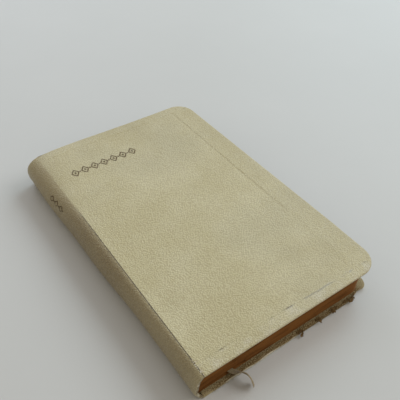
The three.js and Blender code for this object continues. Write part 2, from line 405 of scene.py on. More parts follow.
def ruled_leaf_material():
    """Thin paper with two columns of plain grey rules where a page has its print."""
    n = Nodes("ruled_leaf")
    place = n.rest_place()
    y = n.axis(place, "Y")
    from_middle = n.maths("ABSOLUTE", n.plus(n.axis(place, "X"), -COLUMN_MIDDLE_X))
    from_column = n.maths("ABSOLUTE", n.plus(from_middle, -COLUMN_OFFSET))
    in_column = n.band(from_column, COLUMN_HALF_WIDTH, COLUMN_HALF_WIDTH + 0.4, 1.0, 0.0)
    in_height = n.band(n.maths("ABSOLUTE", y), TEXT_HALF_HEIGHT, TEXT_HALF_HEIGHT + 0.3, 1.0, 0.0)
    from_rule = n.maths("PINGPONG", y, LINE_PITCH / 2)
    inked = n.band(from_rule, LINE_PITCH * 0.10, LINE_PITCH * 0.22, 1.0, 0.0)
    uneven = n.band(n.noise(n.scaled(place, (1.2, 0.3, 1.0)), 1.0, 2.0, 0.5), 0.30, 0.60, 0.15, 0.42)
    ink = n.times(n.times(in_column, in_height), n.times(inked, uneven))
    return paper_finish(n, place, n.mix(ink, paper_colour(n, place, 0.45), PRINT_GREY), 0.80)


def card_material():
    n = Nodes("grey_card")
    place = n.object_place()
    pulp = n.noise(place, 1.4, 5.0, 0.7)
    flecks = n.noise(n.scaled(place, (1.0, 0.3, 1.0)), 2.2, 2.0, 0.5)
    colour = n.mix(n.band(pulp, 0.3, 0.7), CARD_DARK, CARD_PALE)
    colour = n.mix(n.times(n.band(flecks, 0.66, 0.74), 0.6), colour, CARD_FLECK)
    return n.finish(colour, 0.9, n.bump(pulp, 0.06, 0.6), 0.2)


def brown_paper_material():
    n = Nodes("brown_paper")
    place = n.rest_place()
    pulp = n.noise(n.scaled(place, (1.0, 0.25, 1.0)), 1.6, 5.0, 0.7)
    colour = n.mix(n.band(pulp, 0.3, 0.7), BROWN_PAPER_DARK, BROWN_PAPER_PALE)
    return n.finish(colour, 0.88, n.bump(pulp, 0.04, 0.6), 0.2)


def weave(n, place, across, along, pitch):
    """The height of a plain weave of threads that cross at the given pitch."""
    first = n.maths("SINE", n.times(n.axis(place, across), 2 * math.pi / pitch))
    second = n.maths("SINE", n.times(n.axis(place, along), 2 * math.pi / pitch))
    return n.maths("MAXIMUM", n.maths("ABSOLUTE", first), n.maths("ABSOLUTE", second))


def mull_material():
    n = Nodes("mull_cloth")
    place = n.rest_place()
    threads = weave(n, place, "Z", "Y", MULL_PITCH)
    glue = n.noise(place, 0.4, 3.0, 0.6)
    colour = n.mix(n.band(threads, 0.6, 0.95), MULL_GAP, MULL_THREAD)
    colour = n.mix(n.times(n.band(glue, 0.45, 0.7), 0.5), colour, MULL_GLUE)
    return n.finish(colour, 0.9, n.bump(threads, 0.15, 0.8), 0.2)


def thread_material():
    n = Nodes("linen_thread")
    place = n.rest_place()
    twist = n.maths("SINE", n.times(n.plus(n.axis(place, "Y"), n.axis(place, "Z")), 9.0))
    colour = n.mix(n.band(twist, -1.0, 1.0), LINEN_DARK, LINEN_PALE)
    return n.finish(colour, 0.75, n.bump(twist, 0.05, 0.8), 0.3, 0.2)


def ribbon_material():
    """Thin beige silk: fine cords along its length, dull and a little soiled."""
    n = Nodes("ribbon_silk")
    cords = n.maths("SINE", n.times(n.painted("across"), 2 * math.pi * 9))
    picks = n.maths("SINE", n.times(n.painted("along"), 2 * math.pi * 5))
    soil = n.noise(n.rest_place(), 0.5, 3.0, 0.6)
    colour = n.mix(n.band(cords, -1.0, 1.0), SILK_DARK, SILK_PALE)
    colour = n.mix(n.times(n.band(soil, 0.45, 0.75), 0.45), colour, SILK_SOIL)
    return n.finish(colour, 0.48, n.bump(n.plus(cords, n.times(picks, 0.5)), 0.04, 0.7), 0.35, 0.2)


def gilt_material():
    """Gold leaf gone brown, worn through to the leather in places."""
    n = Nodes("worn_gilt")
    place = n.rest_place()
    wear = n.noise(place, 1.1, 3.0, 0.65)
    tarnish = n.noise(place, 3.5, 2.0, 0.5)
    left = n.band(wear, 0.50, 0.72, 1.0, 0.30)
    gold = n.mix(n.band(tarnish, 0.40, 0.68), GOLD_BROWN, GOLD_BRIGHT)
    colour = n.mix(left, GOLD_WORN_OFF, gold)
    return n.finish(colour, 0.42, n.bump(wear, 0.03, 0.5), 0.5, 0.0, n.times(left, 0.55))


def fibre_material(name, dark, pale, sheen):
    n = Nodes(name)
    mottle = n.noise(n.rest_place(), 1.2, 3.0, 0.6)
    colour = n.mix(n.band(mottle, 0.35, 0.65), dark, pale)
    return n.finish(colour, 0.85, n.bump(mottle, 0.05, 0.6), 0.1, sheen)


def floor_material():
    n = Nodes("pale_floor")
    place = n.object_place()
    colour = n.mix(n.noise(place, 0.012, 4.0, 0.6), FLOOR_GREY, FLOOR_PALE)
    return n.finish(colour, 0.55, n.bump(n.noise(place, 0.15, 4.0, 0.6), 0.08, 0.5), 0.3)


# ---- Mesh making ----


def make_piece(name, points, faces, materials, paint=None, face_slots=None, sharp=40.0):
    """A smooth mesh from points in millimetres. paint holds named values, one for each point."""
    points = np.asarray(points, float)
    mesh = bpy.data.meshes.new(name)
    mesh.from_pydata((points * MM).tolist(), [], [list(map(int, face)) for face in faces])
    rest = mesh.attributes.new("rest", "FLOAT_VECTOR", "POINT")
    rest.data.foreach_set("vector", points.astype(np.float32).ravel())
    for key, values in (paint or {}).items():
        layer = mesh.attributes.new(key, "FLOAT", "POINT")
        layer.data.foreach_set("value", np.asarray(values, np.float32).ravel())
    for material in materials:
        mesh.materials.append(material)
    if face_slots is not None:
        mesh.polygons.foreach_set("material_index", np.asarray(face_slots, np.int32))
    mesh.polygons.foreach_set("use_smooth", np.ones(len(mesh.polygons), bool))
    mesh.update()
    mesh.set_sharp_from_angle(angle=math.radians(sharp))
    piece = add_object(name, mesh)
    return piece


def closed_shell(outer, inner):
    """Points, faces and a mark for each wall face of the closed skin between two grids of points.
    Seen from outside, outer's columns run to the right when its rows run up."""
    rows, columns, _ = outer.shape
    count = rows * columns
    index = np.arange(count).reshape(rows, columns)
    corners = (index[:-1, :-1], index[:-1, 1:], index[1:, 1:], index[1:, :-1])
    face = np.stack(corners, -1).reshape(-1, 4)
    border = np.concatenate([index[0, :], index[1:, -1], index[-1, -2::-1], index[-2:0:-1, 0]])
    after = np.roll(border, -1)
    wall = np.stack([border, border + count, after + count, after], -1)
    points = np.concatenate([outer.reshape(-1, 3), inner.reshape(-1, 3)])
    marks = np.repeat([0, 0, 1], [len(face), len(face), len(wall)])
    return points, np.concatenate([face, face[:, ::-1] + count, wall]), marks


def joined(shells):
    """Several shells as one set of points, faces and marks."""
    points, faces, marks = [], [], []
    start = 0
    for shell_points, shell_faces, shell_marks in shells:
        points.append(shell_points)
        faces += [[start + corner for corner in face] for face in shell_faces]
        marks.append(shell_marks)
        start += len(shell_points)
    return np.concatenate(points), faces, np.concatenate(marks)


def joined_piece(name, shells, material, sharp=40.0):
    """One piece made of several shells of the same material."""
    points, faces, _ = joined(shells)
    return make_piece(name, points, faces, [material], sharp=sharp)


def tube(rings):
    """Points, faces and marks of a closed tube through rings of points."""
    count, sides, _ = rings.shape
    index = np.arange(count * sides).reshape(count, sides)
    turned = np.roll(index, -1, 1)
    wall = np.stack([index[:-1], turned[:-1], turned[1:], index[1:]], -1).reshape(-1, 4)
    faces = [list(face) for face in wall] + [list(index[0, ::-1]), list(index[-1])]
    return rings.reshape(-1, 3), faces, np.zeros(len(faces), int)


def hills(x, y, size, seed):
    """Smooth noise from about -1 to 1 at each of two grids' places."""
    spots = zip(np.ravel(x) / size + seed, np.ravel(y) / size - seed)
    return np.reshape([noise.noise((a, b, seed)) for a, b in spots], np.shape(x))


def waves(x, y, *terms):
    """Hills of several sizes, added up. Each term is a height, a size and a seed."""
    return sum(height * hills(x, y, size, seed) for height, size, seed in terms)


def patches(x, y, size, seed, contrast=1.0):
    """Smooth patches from 0 to 1."""
    return np.clip(0.5 + contrast * hills(x, y, size, seed), 0, 1)


def smooth(value, low, high):
    share = np.clip((value - low) / (high - low), 0, 1)
    return share * share * (3 - 2 * share)


def ridge(value, middle, width):
    """1 on a line and 0 away from it."""
    return np.exp(-(((value - middle) / width) ** 2))


def edge_round(distance, radius):
    """How far a rounded edge drops below the face at some distance from the edge."""
    into = np.clip(distance, 0, radius)
    return radius - np.sqrt(np.maximum(radius**2 - (radius - into) ** 2, 0))


def mirrored_rows(half, offsets, middle):
    """Y of a grid's rows: some offsets from each end, and evenly spaced rows between them."""
    ends = np.array(offsets)
    inner = np.linspace(ends[-1] - half, half - ends[-1], middle + 2)[1:-1]
    return np.concatenate([ends - half, inner, half - ends[::-1]])


def fore_edge(y, right, half, corner):
    """The fore edge's X along the page, less where its corners are round."""
    into = np.clip(half - np.abs(y), 0, corner)
    return right - corner + np.sqrt(np.maximum(corner**2 - (corner - into) ** 2, 0))


def page_grid(columns, rows, half, corner):
    """X and Y of a page's grid. Its last column follows the fore edge round the corners."""
    y, x = np.meshgrid(rows, columns, indexing="ij")
    left, right = columns[0], columns[-1]
    share = (x - left) / (right - left)
    return left + share * (fore_edge(y, right, half, corner) - left), y


def edge_distance(x, y, right, half, corner):
    """How far a point lies inside a page's three free edges."""
    across = right - x
    along = half - np.abs(y)
    round_in = corner - np.hypot(corner - across, corner - along)
    in_corner = (across < corner) & (along < corner)
    return np.maximum(np.where(in_corner, round_in, np.minimum(across, along)), 0)


def stacked(x, y, z):
    return np.stack([x, y, np.broadcast_to(z, np.shape(x))], -1)


# ---- The covers' leather ----

FORE_OFFSETS = [0, 0.05, 0.15, 0.3, 0.5, 0.8, 1.2, 1.7, 2.4, 3.2, 3.6, 4.0, 4.3, 4.6, 4.9, 5.2]
EDGE_OFFSETS = [*FORE_OFFSETS, 5.4, 5.6, 5.9, 6.6, 8, 9.5]
COVER_ROWS = mirrored_rows(HALF_Y, EDGE_OFFSETS, 86)
JOINT_COLUMNS = JOINT_X + np.concatenate([np.linspace(0, 1.2, 11), np.linspace(1.6, 5.2, 10)])
TURN_IN_COLUMNS = TURN_IN_X + np.array([-1.2, -0.8, -0.5, -0.25, 0, 0.25, 0.5, 0.9])
FORE_COLUMNS = FORE_X - np.array(FORE_OFFSETS)[::-1]
PLAIN_COLUMNS = np.linspace(JOINT_COLUMNS[-1], TURN_IN_COLUMNS[0], 46)[1:-1]
MARGIN_COLUMNS = np.linspace(TURN_IN_COLUMNS[-1], FORE_COLUMNS[0], 6)[1:-1]
COVER_COLUMNS = np.concatenate(
    [JOINT_COLUMNS, PLAIN_COLUMNS, TURN_IN_COLUMNS, MARGIN_COLUMNS, FORE_COLUMNS]
)
EDGE_RADIUS = 0.55
UNDER_RADIUS = 0.30
PARED = 0.50  # share of a cover's thickness that its edges are pared away by
TURN_IN_RISE = 0.15
DROOP = 0.12
FOLD_WIDTH = 0.45  # half the width of the step at the turned-in leather's edge, where it is sharp
FOLD_SPREAD = 1.5  # how much wider that step is towards the tail
GROOVE_DEPTH = 0.03
PLEAT_RISE = 0.035
PLEATS = 22  # the number of little folds in a full turn round a corner
PLEAT_START = 4.5  # how far from the corner's middle the pleats start
PLEAT_END = 8.5
CRACK_DEPTH = 0.10
CRACK_WIDTH = 0.17
ROLL_WIDTH = 9.0  # how far in from the joint the cover starts to roll over into the spine
ROLL_DROP = 0.10
ROLL_DROP_AT_HEAD = 0.50  # how much more it drops at the head
HEAD_OUT = 0.3  # how far the whole head edge stands out
HEAD_BOW = 1.7  # how much further it stands out where it bows most
HEAD_BOW_X = -26
HEAD_BOW_WIDTH = 26
FORE_OUT = 0.35  # how far the fore edge stands out at its middle
FORE_LEAN = 0.020  # how much further it stands out for each millimetre towards the tail
FORE_LIMITS = (-0.8, 1.2)


def turned_in(x, y, width):
    """1 where the leather is folded double, 0 inside the fold."""
    across = smooth(x, TURN_IN_X - width, TURN_IN_X + width)
    along = smooth(np.abs(y), TURN_IN_Y - width, TURN_IN_Y + width)
    return np.maximum(across, along)


def past_leaves(x, y):
    """0 over the leaves and 1 at the cover's free edges."""
    across = (x - LEAF_FORE_X) / (FORE_X - LEAF_FORE_X)
    along = (np.abs(y) - LEAF_HALF_Y) / (HALF_Y - LEAF_HALF_Y)
    return np.clip(np.maximum(across, along), 0, 1)


def corner_pleats(x, y):
    """The little folds of the turned-in leather at the two round corners."""
    across = x - (FORE_X - COVER_CORNER)
    along = np.abs(y) - (HALF_Y - COVER_CORNER)
    reach = smooth(np.hypot(across, along), PLEAT_START, PLEAT_END) * (across > 0) * (along > 0)
    return reach * np.cos(np.arctan2(along, across) * PLEATS)


def joint_crack(x, y):
    """The worn crack along the front joint, from two fifths down to the tail."""
    line = JOINT_X + 0.20 + waves(y, y * 0, (0.07, 7.0, 4.0), (0.04, 1.3, 9.0))
    return ridge(x, line, CRACK_WIDTH) * smooth(-y, -40, -14)


def shoulder_roll(x, y):
    """How far the cover drops as it rolls over into the spine. The shoulder is softest at the head."""
    into = np.maximum(JOINT_X + ROLL_WIDTH - x, 0) / ROLL_WIDTH
    return into**2 * (ROLL_DROP + ROLL_DROP_AT_HEAD * smooth(y, -5, 60))


def front_height(x, y):
    """Z of the front cover's outer face, before its edges are rounded."""
    ease = smooth(x - JOINT_X, 0, 6)
    limp = waves(x, y, (0.17, 34.0, 5.3), (0.05, 9.0, 2.1))
    step = FOLD_WIDTH + FOLD_SPREAD * smooth(-y, 10, 45)
    fold = TURN_IN_RISE * (turned_in(x, y, step) - 1)
    groove = ridge(x, TURN_IN_X - 0.5, 0.40) * smooth(y, -34, -14) * (np.abs(y) < TURN_IN_Y)
    relief = ease * (limp + fold - GROOVE_DEPTH * groove) + PLEAT_RISE * corner_pleats(x, y)
    crack = CRACK_DEPTH * joint_crack(x, y) * smooth(x - JOINT_X, 0, 0.15)
    return THICK + relief - crack - shoulder_roll(x, y) - DROOP * past_leaves(x, y) ** 2


def limp_outline(x, y):
    """The limp cover isn't a true rectangle: its head bows out towards the spine, and its fore edge
    leans from the head out to the tail."""
    head = smooth(y, 30, HALF_Y) * (HEAD_BOW * ridge(x, HEAD_BOW_X, HEAD_BOW_WIDTH) + HEAD_OUT)
    fore = smooth(x, 10, FORE_X) * np.clip(FORE_OUT - FORE_LEAN * y, *FORE_LIMITS)
    return x + fore, y + head


def cover_soil_and_painted_light(x, y, distance):
    """Where the outer face of a cover is dirty, yellowed, rubbed, raw or coarse, from 0 to 1, with painted
    shade at the shoulder near the head and painted glints in the tail margin.
    """
    patch = patches(x, y, 16.0, 3.1)
    small = patches(x, y, 3.0, 7.7)
    fore_line = ridge(x, TURN_IN_X - 0.4, 0.42) * smooth(y, -32, -4) * (np.abs(y) < TURN_IN_Y)
    # the line of dirt along the tail's fold runs nearer to the edge towards the corner
    wander = 0.1 + 1.1 * smooth(x, -15, 25) * (y < 0) + 0.30 * hills(x, y * 0, 3.5, 8.8)
    end_line = ridge(np.abs(y), TURN_IN_Y + wander, 0.45) * (0.75 + 0.25 * patch)
    tail_margin = smooth(-y, TURN_IN_Y - 0.6, TURN_IN_Y + 0.8)
    end_dirt = np.where(y < 0, 0.20 + 0.26 * small, 0.18)
    lines = 0.24 * fore_line + end_dirt * end_line * smooth(x - JOINT_X, 1, 5)
    edges = 0.14 * np.exp(-distance / 0.55) * patch + 0.20 * tail_margin * small
    pleats = 0.22 * np.maximum(corner_pleats(x, y), 0)
    yellow = 0.22 * np.exp(-distance / 5) + 0.20 * smooth(x - 0.5 * y, 20, 72) * patch
    yellow = yellow + 0.13 * smooth(0.5 * x + y, -30, 80)
    grain = 0.68 + 0.32 * smooth(-0.7 * x - y, -40, 60) + 0.3 * tail_margin
    # painted shade: near the head the cover darkens towards the joint, where it rolls over into the spine
    shoulder = np.exp(-(x - JOINT_X) / 4.5) * smooth(y, 5, 55)
    return {
        "tanned": 0.20 * shoulder,
        "dirt": np.clip(lines + edges + pleats, 0, 1),
        "yellow": np.clip(yellow, 0, 1),
        "rubbed": np.clip(0.8 * tail_margin + 0.4 * turned_in(x, y, 0.5), 0, 1),
        # pale raw leather at the edges, and painted glints: pale speckles across the tail margin
        "raw": np.maximum(0.40 * np.exp(-distance / 0.40) * small, tail_margin * (0.30 + 0.20 * small)),
        "grain": np.clip(grain, 0, 1),
    }


def inner_soil_and_highlight(x, y, distance):
    """The turned-in inner margin is tanned, and paler here and there at the very edge: raw leather with a
    painted highlight along the lip.
    """
    patch = patches(x, y, 5.0, 2.6, 1.3)
    return {
        "dirt": 0.30 - 0.25 * np.exp(-distance / 0.5),
        "tanned": np.full_like(x, 0.45),
        "yellow": np.full_like(x, 0.95),
        # pale raw edge with a painted highlight along the lip
        "raw": 0.62 * np.exp(-distance / 0.35) * patch,
        "grain": np.full_like(x, 0.3),
    }


def both_faces(upper, lower):
    """Paint for the two grids of a closed shell. What one of them lacks is 0 there."""
    nothing = np.zeros_like(next(iter(upper.values())))
    keys = sorted({*upper, *lower})
    return {key: np.stack([upper.get(key, nothing), lower.get(key, nothing)]) for key in keys}


def cover_slots(marks, upper, lower, wall):
    """The material number of each face of a cover: of its upper grid, its lower grid and its edge."""
    grid = np.count_nonzero(marks == 0) // 2
    return np.repeat([upper, lower, wall], [grid, grid, len(marks) - 2 * grid])


def bend_at_joint(piece):
    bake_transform(piece)


def cover_depth(x, y, distance):
    """From a cover's outer face down to its inner one, which has a shallow pocket for the board and
    is pared thin at its edges."""
    pocket = LEATHER + (COVER_DEEP - LEATHER) * turned_in(x, y, 0.06)
    return pocket * (1 - PARED * past_leaves(x, y) ** 2) - edge_round(distance, UNDER_RADIUS)


def cover_piece(side, upper, lower, paint, slots, finishes):
    """The skin of a cover. slots are the material numbers of its upper face, lower face and edge."""
    points, faces, marks = closed_shell(upper, lower)
    numbers = cover_slots(marks, *slots)
    piece = make_piece(side + "_cover_skin", points, faces, finishes, paint, numbers)
    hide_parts(side + "_cover_leather")
    return piece


def front_cover_skin(finishes):
    x, y = page_grid(COVER_COLUMNS, COVER_ROWS, HALF_Y, COVER_CORNER)
    distance = edge_distance(x, y, FORE_X, HALF_Y, COVER_CORNER)
    top = front_height(x, y) - edge_round(distance, EDGE_RADIUS)
    bottom = THICK - cover_depth(x, y, distance) - DROOP * past_leaves(x, y) ** 2
    outside = cover_soil_and_painted_light(x, y, distance)
    outside["dirt"] = np.clip(outside["dirt"] + joint_crack(x, y), 0, 1)
    paint = both_faces(outside, inner_soil_and_highlight(x, y, distance))
    x, y = limp_outline(x, y)
    piece = cover_piece("front", stacked(x, y, top), stacked(x, y, bottom), paint, (0, 1, 0), finishes)
    bend_at_joint(piece)


NICK = 1.3  # how deep the nick near the back cover's tail corner is
TIP = 1.2  # how far the tip beyond it sticks out


def frayed_edge(x):
    """How far the back cover's worn tail edge stands out past its line."""
    return waves(x, x * 0, (0.30, 11.0, 8.0), (0.22, 2.6, 3.0), (0.10, 0.9, 5.0))


def worn_corner(x):
    """The back cover's tail corner: a nick worn into its edge, and then a limp tip that sticks out."""
    return NICK * smooth(x, 31.5, 36.5) - (NICK + TIP) * smooth(x, 37.5, 43)


def back_cover_skin(finishes):
    x, y = page_grid(COVER_COLUMNS, COVER_ROWS, HALF_Y, COVER_CORNER)
    distance = edge_distance(x, y, FORE_X, HALF_Y, COVER_CORNER)
    worn = smooth(-y, LEAF_HALF_Y - 0.5, HALF_Y) * smooth(x, -38, -33)
    lift = 0.25 * worn * np.clip(hills(x, y * 0, 9.0, 1.7), 0, 1)
    outer = edge_round(distance, EDGE_RADIUS) * 0.7 + lift
    inner = cover_depth(x, y, distance) + lift + 0.05 * worn * hills(x, y, 1.2, 4.4)
    torn = worn * smooth(x, 0, 8)
    inside = inner_soil_and_highlight(x, y, distance)
    # untanned at the very edge: a pale raw rim with a painted highlight along the lip
    pale_rim_and_highlight = np.exp(-((distance / 0.20) ** 2)) * (0.85 - 0.75 * torn)
    fresh = 1 - 0.35 * smooth(x, 36, 41)
    brown = np.clip(0.45 + worn * (0.65 + 0.25 * hills(x, y, 2.5, 6.6)), 0, 1)
    inside["tanned"] = brown * (1 - pale_rim_and_highlight) * fresh
    inside["dirt"] = np.clip(inside["dirt"] + 0.20 * torn * hills(x, y, 1.8, 6.6), 0, 1)
    inside["raw"] = np.clip(inside["raw"] + 0.45 * (worn - torn) * np.exp(-distance / 0.4), 0, 1)
    outside = cover_soil_and_painted_light(x, y, distance)
    outside["tanned"] = 0.85 * worn * np.exp(-((distance / 0.8) ** 2)) * fresh
    paint = both_faces(inside, outside)
    y = y - worn * frayed_edge(x) + worn_corner(x) * smooth(-y, 56, 66)
    piece = cover_piece("back", stacked(x, y, inner), stacked(x, y, outer), paint, (1, 0, 1), finishes)
    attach(piece, "back_half")


# ---- The spine ----

SPINE_EDGE_RADIUS = 0.36
SPINE_UNEVEN = 0.10
SPINE_LIP = 1.1  # how much further in the spine's leather is turned over the leaves' ends
FOLD_ANGLE = 6.0
SPINE_MIDDLE_OUT = 1.2  # how far the spine swells from its tail to its middle
SPINE_HEAD_OUT = 1.7  # how much more it swells towards its head
SPINE_HEAD_IN = 0.5  # how far it is drawn in again at its two ends
SPINE_TAIL_IN = 0.2
LIP_GROWTH = 0.8  # how much deeper the lip is for each millimetre that the spine swells
SAG = 0.7
SAG_OUT = 0.75
SAG_DOWN = 0.9
TAIL_HOLLOW = 1.5  # how far the spine's tail edge is drawn in, below its middle
TAIL_HOLLOW_ANGLE = math.radians(-42)
TAIL_HOLLOW_WIDTH = math.radians(30)
TO_THE_FOLD = np.linspace(-90, -FOLD_ANGLE, 20)
ROUND_THE_FOLD = np.linspace(-FOLD_ANGLE, FOLD_ANGLE, 11)[1:-1]
SPINE_ANGLES = np.radians(np.concatenate([TO_THE_FOLD, ROUND_THE_FOLD, -TO_THE_FOLD[::-1]]))


def spine_bulge(y):
    """How far the spine stands out past the joints: least at its tail and most near its head."""
    middle = SPINE_MIDDLE_OUT * smooth(y, -35, 10) - SPINE_TAIL_IN * smooth(-y, 30, 60)
    head = SPINE_HEAD_OUT * smooth(y, 15, 66) - SPINE_HEAD_IN * smooth(y, 40, 66)
    return BULGE + middle + head


def spine_sag(angle, y):
    """How much the limp spine sags outwards and down, below its middle."""
    share = SAG * smooth(y, -35, 5) * (1 - 0.4 * smooth(y, 50, 66))
    return share * np.sin(2 * np.minimum(angle, 0)) ** 2


def spine_place(angle, y, depth):
    """A point of the spine. The angle is 0 at its middle and 90 degrees at the front joint, and the
    depth is measured inwards from the outside of the leather."""
    sag = spine_sag(angle, y)
    x = JOINT_X - (spine_bulge(y) - depth) * np.cos(angle) - SAG_OUT * sag
    rise = np.sin(angle)
    z = MIDDLE_Z + (MIDDLE_Z - depth) * rise - SAG_DOWN * sag
    z = z - np.maximum(rise, 0) ** 2 * shoulder_roll(x, y)
    bowed = limp_outline(np.full_like(y, JOINT_X), y)[1]
    hollow = TAIL_HOLLOW * ridge(angle, TAIL_HOLLOW_ANGLE, TAIL_HOLLOW_WIDTH)
    bowed = bowed + hollow * smooth(-y, 66, HALF_Y)
    return np.stack(np.broadcast_arrays(x, bowed, z), -1)


def bend_at_spine(piece):
    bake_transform(piece)


def spine_soil_and_painted_light(angle, y):
    """The spine is browner than the covers and darkest at its worn shoulder and its two caps. Near the head
    it is painted lighter towards the shoulder, so that the painted shade on the cover blends into it.
    """
    distance = HALF_Y - np.abs(y)
    patch = patches(y, angle * 12, 14.0, 5.5)
    small = patches(y, angle * 12, 2.2, 1.5)
    shoulder = smooth(angle, math.radians(76), math.radians(88)) * smooth(-y, -34, -16)
    tanned = 0.12 + 0.28 * ridge(y, 5, 42) + 0.12 * smooth(-y, 30, 55) - 0.06 * np.exp(-distance / 3)
    # painted light: near the head the tan eases off towards the shoulder
    shoulder_painted_light = smooth(angle, math.radians(30), math.radians(90)) * smooth(y, 5, 55)
    return {
        "dirt": np.clip(0.25 * np.exp(-distance / 0.7) * small + 0.42 * shoulder * small, 0, 1),
        "yellow": np.clip(0.72 + 0.25 * patch - 0.35 * np.exp(-distance / 4), 0, 1),
        "tanned": tanned * (1 - 0.5 * shoulder_painted_light),
        "rubbed": 0.5 * patch,
        "raw": 0.55 * np.exp(-distance / 0.5) * small,
        "grain": np.full_like(y, 0.85),
    }


def spine_skin(leather):
    y, angle = np.meshgrid(COVER_ROWS, SPINE_ANGLES, indexing="ij")
    rounding = edge_round(HALF_Y - np.abs(y), SPINE_EDGE_RADIUS)
    uneven = SPINE_UNEVEN * np.cos(angle) * hills(y, angle * 8, 18.0, 2.5)
    lip = SPINE_LIP + LIP_GROWTH * (spine_bulge(y) - BULGE)
    lip = lip * smooth(np.abs(y), LEAF_HALF_Y + 0.1, LEAF_HALF_Y + 0.7) * np.cos(angle) ** 0.4
    outer = spine_place(angle, y, rounding - uneven)
    inner = spine_place(angle, y, LEATHER + lip - rounding)
    points, faces, _ = closed_shell(outer, inner)
    inside = spine_soil_and_painted_light(angle, y)
    inside["dirt"] = np.full_like(y, 0.25)
    inside["tanned"] = np.full_like(y, 0.8)
    paint = both_faces(spine_soil_and_painted_light(angle, y), inside)
    piece = make_piece("spine_skin", points, faces, [leather], paint)
    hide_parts("spine_leather_lower", "spine_leather_upper")
    bend_at_spine(piece)


SPINE_LAYER = 0.25  # how thick the lining and the mull are
RAGGED = 2.0  # how far in from its ends a layer is ragged


def spine_layer(name, material):
    """A thin layer inside the spine's leather, as deep and as long as its nodes."""
    _, half, top = box_mm(name + "_upper")[1]
    depth = THICK - top
    rows = mirrored_rows(half, [0, 0.2, 0.6, RAGGED], 30)
    y, angle = np.meshgrid(rows, SPINE_ANGLES, indexing="ij")
    ragged = 0.25 * hills(angle * 9, y * 0, 1.0, 3.3) * smooth(np.abs(y), half - RAGGED, half)
    y = y + np.sign(y) * ragged
    inner = spine_place(angle, y, depth + SPINE_LAYER)
    points, faces, _ = closed_shell(spine_place(angle, y, depth), inner)
    piece = make_piece(name, points, faces, [material])
    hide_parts(name + "_lower", name + "_upper")
    bend_at_spine(piece)


# ---- Endpapers and middle leaves ----


def stain_creeps(marks, strips):
    """Marks the strips of faces next to the cut edges, where the stain has crept in."""
    on_leaf = marks[: np.count_nonzero(marks == 0)].reshape(2, strips, -1)
    on_leaf[:, [0, 1, 2, -3, -2, -1]] = 1
    on_leaf[:, :, [0, -1]] = 1
    return marks


SHEET_OFFSETS = [0, 0.12, 0.4, 0.9, 1.7, 2.8, 4.2, 5.6, 7.0]
SHEET_THICKNESS = 0.15
ENDPAPER_THICKNESS = 0.2
ENDPAPER_TUCK = 0.3  # how far a pastedown runs in past the joint
FOLD_ZONE = 4.4  # how far in from a sheet's fold side its columns lie close together
LIFT_LENGTH = 25.0
TANNED_MARGIN = 4.0


def paper_sheet(name, left, right, half, low, thickness, paper, edge=None):
    """A flat sheet, tanned towards its edges. Its cut edges may have a stain of their own."""
    near = np.linspace(left, left + FOLD_ZONE, 12)
    lifting = np.linspace(left + 6, left + LIFT_LENGTH + 2, 12)
    columns = np.concatenate([near, lifting, np.linspace(left + 30, right - 3, 15), [right - 0.8, right]])
    x, y = page_grid(columns, mirrored_rows(half, SHEET_OFFSETS, 16), half, LEAF_CORNER)
    points, faces, marks = closed_shell(stacked(x, y, low + thickness), stacked(x, y, low))
    marks = stain_creeps(marks, len(x) - 1)
    tan = {"yellow": 0.9 * np.exp(-edge_distance(x, y, right, half, LEAF_CORNER) / TANNED_MARGIN)}
    return make_piece(name, points, faces, [paper, edge or paper], both_faces(tan, tan), marks)


def lifting_sheet(node, paper, stain):
    """A leaf, made as a flat sheet halfway up its node."""
    low, high = box_mm(node)
    bottom = (low[2] + high[2] - SHEET_THICKNESS) / 2
    sheet = paper_sheet(
        node + "_sheet", low[0], high[0], high[1], bottom, SHEET_THICKNESS, paper, stain
    )
    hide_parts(node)
    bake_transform(sheet)


def endpapers(paper, stain):
    left = JOINT_X - ENDPAPER_TUCK
    for side in ("front", "back"):
        low, high = box_mm(side + "_pastedown")
        sheet = paper_sheet(
            side + "_endpaper", left, high[0], high[1], low[2], ENDPAPER_THICKNESS, paper
        )
        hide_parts(side + "_pastedown")
        if side == "front":
            bend_at_joint(sheet)
        else:
            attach(sheet, "back_half")
    low, high = box_mm("back_flyleaf")
    sheet = paper_sheet(
        "back_flyleaf_sheet", low[0], high[0], high[1], low[2], SHEET_THICKNESS, paper, stain
    )
    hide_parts("back_flyleaf")
    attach(sheet, "back_half")
    lifting_sheet("front_flyleaf", paper, stain)


# ---- The gatherings ----

FOLIOS = 3  # the folded sheets that stand for each gathering's leaves
ARM_SHARES = np.array([*np.linspace(0, 0.93, 11), 0.99, 1])
FOLD_TURNS = np.radians(np.linspace(-90, 90, 9))[1:-1]
GATHERING_OFFSETS = [0, 0.1, 0.35, 0.9, 1.7, 2.8, 4.2, 5.6, 7.0]
GAP_MIDDLE_X = -29.8
GAP_HALF_WIDTH = 3.6
GAP_LOW_Z = 2.6
GAP_HIGH_Z = 4.1
GAP_DEPTH = 4.0
SLIP = 0.03
FORE_HOLLOW = 0.35


def tail_gap(x, z):
    """How far the lowest leaves stop short at the tail, where the ribbon comes out of the block."""
    return GAP_DEPTH * ridge(x, GAP_MIDDLE_X, GAP_HALF_WIDTH) * (1 - smooth(z, GAP_LOW_Z, GAP_HIGH_Z))


def folded_surface(low, high, fold_x, fore_x, rows, depth):
    """One face of a folded sheet: from its lower fore edge, round the fold, to its upper fore edge."""
    middle = (low + high) / 2
    half = (high - low) / 2
    start = fold_x + depth
    arm = [start + (fore_x(rows) - start) * share for share in ARM_SHARES]
    lower = [(x, low) for x in reversed(arm)]
    upper = [(x, high) for x in arm]
    fold = [(start - depth * math.cos(t) + 0 * rows, middle + half * math.sin(t)) for t in FOLD_TURNS]
    return np.stack([stacked(x, rows, z) for x, z in lower + fold + upper], 1)


